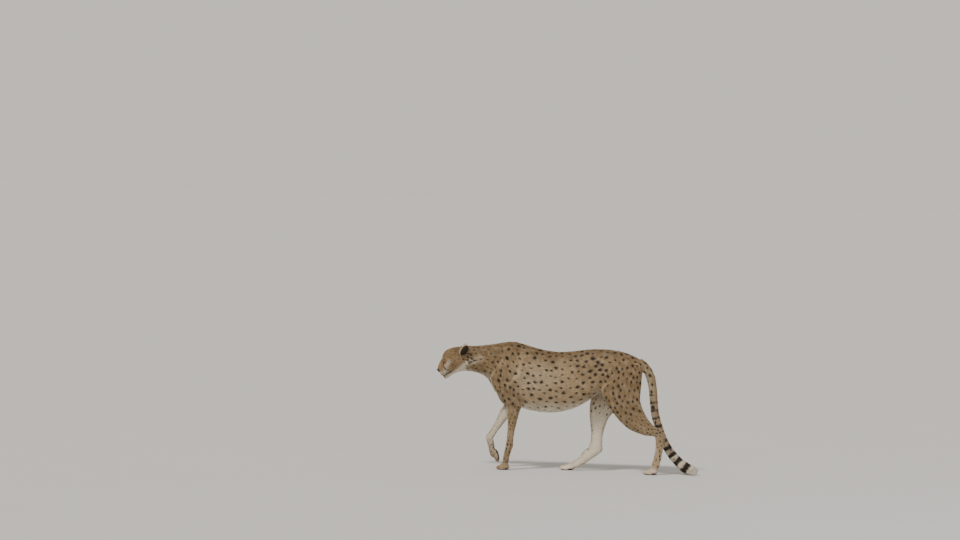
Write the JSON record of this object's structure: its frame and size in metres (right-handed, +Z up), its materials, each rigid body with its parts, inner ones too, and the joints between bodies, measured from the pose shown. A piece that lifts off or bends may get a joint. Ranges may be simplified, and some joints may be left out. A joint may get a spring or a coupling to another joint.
{
  "type": "cheetah, still life-size model",
  "caption": "Standing model of a spotted big cat caught in mid walk, head low, one forefoot lifted and the tail hanging to the floor.",
  "frame": {"origin": "on the floor under the middle of the animal's outline", "axes": "+Z up, the animal faces -X, its left side is towards -Y"},
  "size_m": [1.5978, 0.2302, 0.7732],
  "materials": {
    "coat": "short tawny fur with solid dark spots, white below",
    "tail_brush": "longer pale fur with dark rings and a white tip",
    "ear": "short fur, dark on the back of the ear",
    "nose": "moist bare skin",
    "eye": "wet amber",
    "claw": "smooth horn"
  },
  "bodies": {
    "root": {"forearm_left": "coat", "forepaw_left": "coat", "claw_forepaw_left_1": "claw", "claw_forepaw_left_2": "claw", "claw_forepaw_left_3": "claw", "claw_forepaw_left_4": "claw", "claw_forepaw_left_5": "claw", "forearm_right": "coat", "forepaw_right": "coat", "claw_forepaw_right_1": "claw", "claw_forepaw_right_2": "claw", "claw_forepaw_right_3": "claw", "claw_forepaw_right_4": "claw", "claw_forepaw_right_5": "claw", "shank_left": "coat", "hindfoot_left": "coat", "claw_hindfoot_left_1": "claw", "claw_hindfoot_left_2": "claw", "claw_hindfoot_left_3": "claw", "claw_hindfoot_left_4": "claw", "shank_right": "coat", "hindfoot_right": "coat", "claw_hindfoot_right_1": "claw", "claw_hindfoot_right_2": "claw", "claw_hindfoot_right_3": "claw", "claw_hindfoot_right_4": "claw", "tail_root": "coat", "tail_middle": "coat", "tail_brush": "tail_brush", "shoulder_left": "coat", "shoulder_right": "coat", "thigh_left": "coat", "thigh_right": "coat", "neck": "coat", "trunk": "coat", "head": "coat", "nose": "nose", "eye_left": "eye", "ear_left": "ear", "eye_right": "eye", "ear_right": "ear"}
  },
  "joints": []
}
